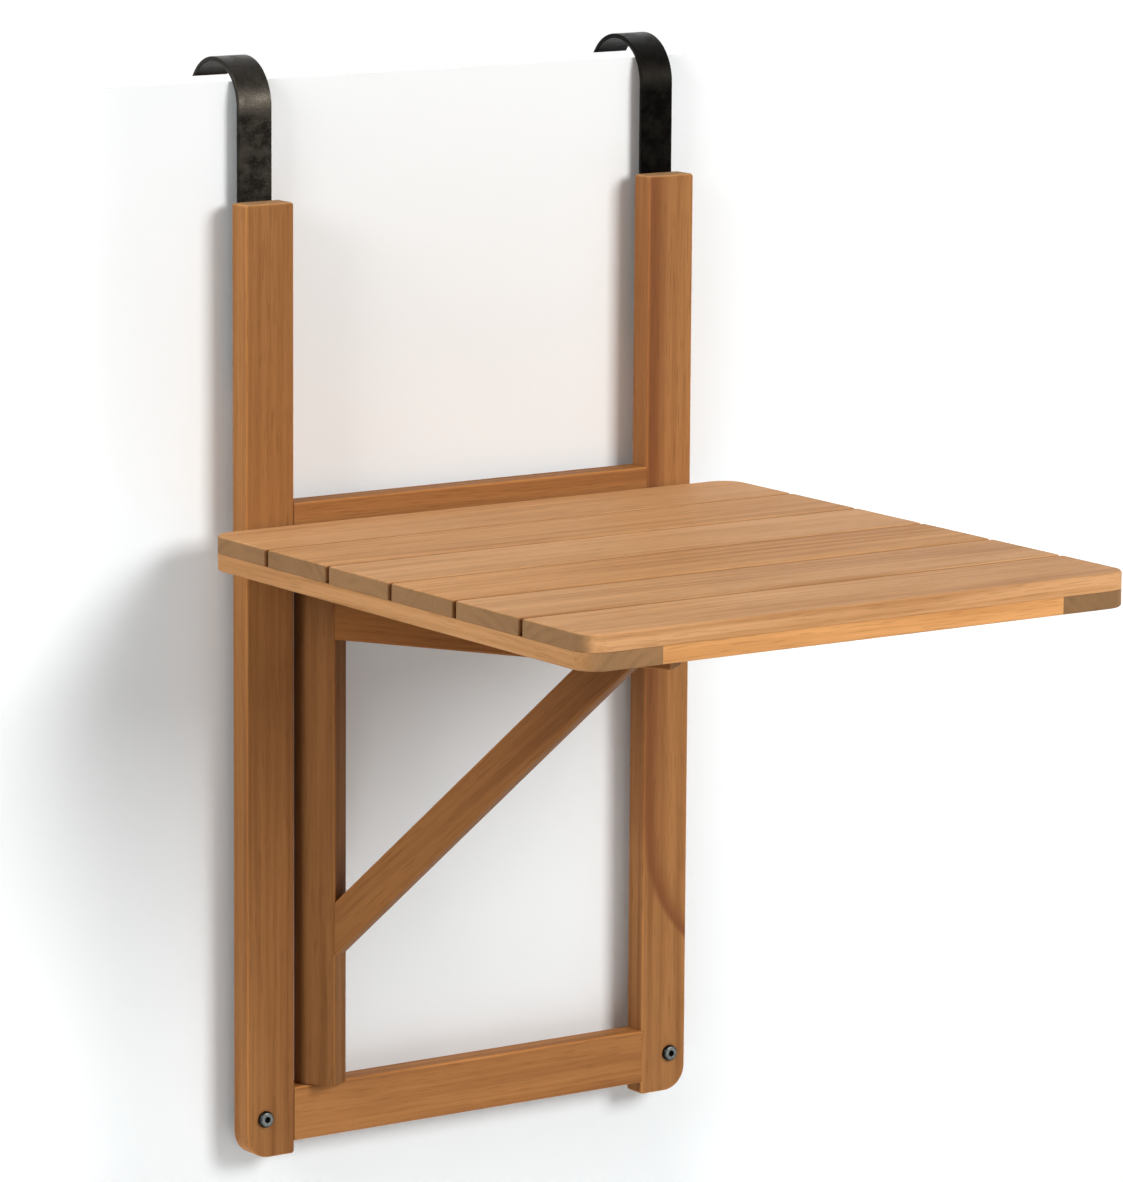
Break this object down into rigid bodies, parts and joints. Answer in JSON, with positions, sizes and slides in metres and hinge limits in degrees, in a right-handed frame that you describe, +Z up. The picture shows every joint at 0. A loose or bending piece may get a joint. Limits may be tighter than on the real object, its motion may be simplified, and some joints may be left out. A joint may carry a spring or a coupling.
{
  "type": "folding balcony table",
  "caption": "Wooden balcony table that hangs on a railing by strap hooks; its hinged slatted top rests on a swinging braced bracket that folds flat into the frame.",
  "frame": {"origin": "middle of the axis that the two hook arches share, where the railing's top sits", "axes": "+X to the right along the railing, -Y towards the user and the tabletop's front edge, +Z up"},
  "size_m": [0.4, 0.4915, 0.696],
  "materials": {
    "stile_wood": "oiled acacia, satin",
    "rail_wood": "oiled acacia, satin",
    "slat_wood": "oiled acacia, satin",
    "batten_wood": "oiled acacia, satin",
    "front_rail_wood": "oiled acacia, satin",
    "bracket_wood": "oiled acacia, satin",
    "dowel_wood": "plain beech",
    "hook_steel": "black satin coat over steel strap",
    "bolt_steel": "plain zinc-plated",
    "screw_steel": "zinc-plated",
    "hinge_steel": "zinc-plated",
    "pin_steel": "plain bright",
    "bumper_rubber": "matt black",
    "washer_nylon": "natural nylon"
  },
  "bodies": {
    "frame": {"upper_rail": "rail_wood", "lower_rail": "rail_wood", "upper_washer": "washer_nylon", "lower_washer": "washer_nylon", "left_stile": "stile_wood", "left_hook": "hook_steel", "left_hook_screws": "screw_steel", "left_foot_bolt": "bolt_steel", "left_bumper": "bumper_rubber", "left_stile_leaf": "hinge_steel", "left_stile_leaf_screws": "screw_steel", "left_hinge_pin": "pin_steel", "right_stile": "stile_wood", "right_hook": "hook_steel", "right_hook_screws": "screw_steel", "right_foot_bolt": "bolt_steel", "right_bumper": "bumper_rubber", "right_stile_leaf": "hinge_steel", "right_stile_leaf_screws": "screw_steel", "right_hinge_pin": "pin_steel"},
    "bracket": {"bracket_post": "bracket_wood", "bracket_arm": "bracket_wood", "bracket_brace": "bracket_wood", "arm_dowels": "dowel_wood", "brace_dowels": "dowel_wood", "upper_pivot_pin": "pin_steel", "lower_pivot_pin": "pin_steel"},
    "tabletop": {"slat_1": "slat_wood", "slat_2": "slat_wood", "slat_3": "slat_wood", "slat_4": "slat_wood", "slat_5": "slat_wood", "slat_6": "slat_wood", "centre_batten": "batten_wood", "centre_batten_screws": "screw_steel", "front_rail": "front_rail_wood", "front_rail_screws": "screw_steel", "left_batten": "batten_wood", "left_batten_screws": "screw_steel", "left_table_leaf": "hinge_steel", "left_table_leaf_screws": "screw_steel", "right_batten": "batten_wood", "right_batten_screws": "screw_steel", "right_table_leaf": "hinge_steel", "right_table_leaf_screws": "screw_steel"}
  },
  "joints": [
    {"name": "bracket_swing", "type": "hinge", "parent": "frame", "child": "bracket", "pos_m": [-0.12, -0.0385, -0.4525], "axis": [0, 0, 1], "range_deg": [-59, 59]},
    {"name": "tabletop_hinge", "type": "hinge", "parent": "frame", "child": "tabletop", "pos_m": [0, -0.0478, -0.2828], "axis": [-1, 0, 0], "range_deg": [0, 7]}
  ]
}
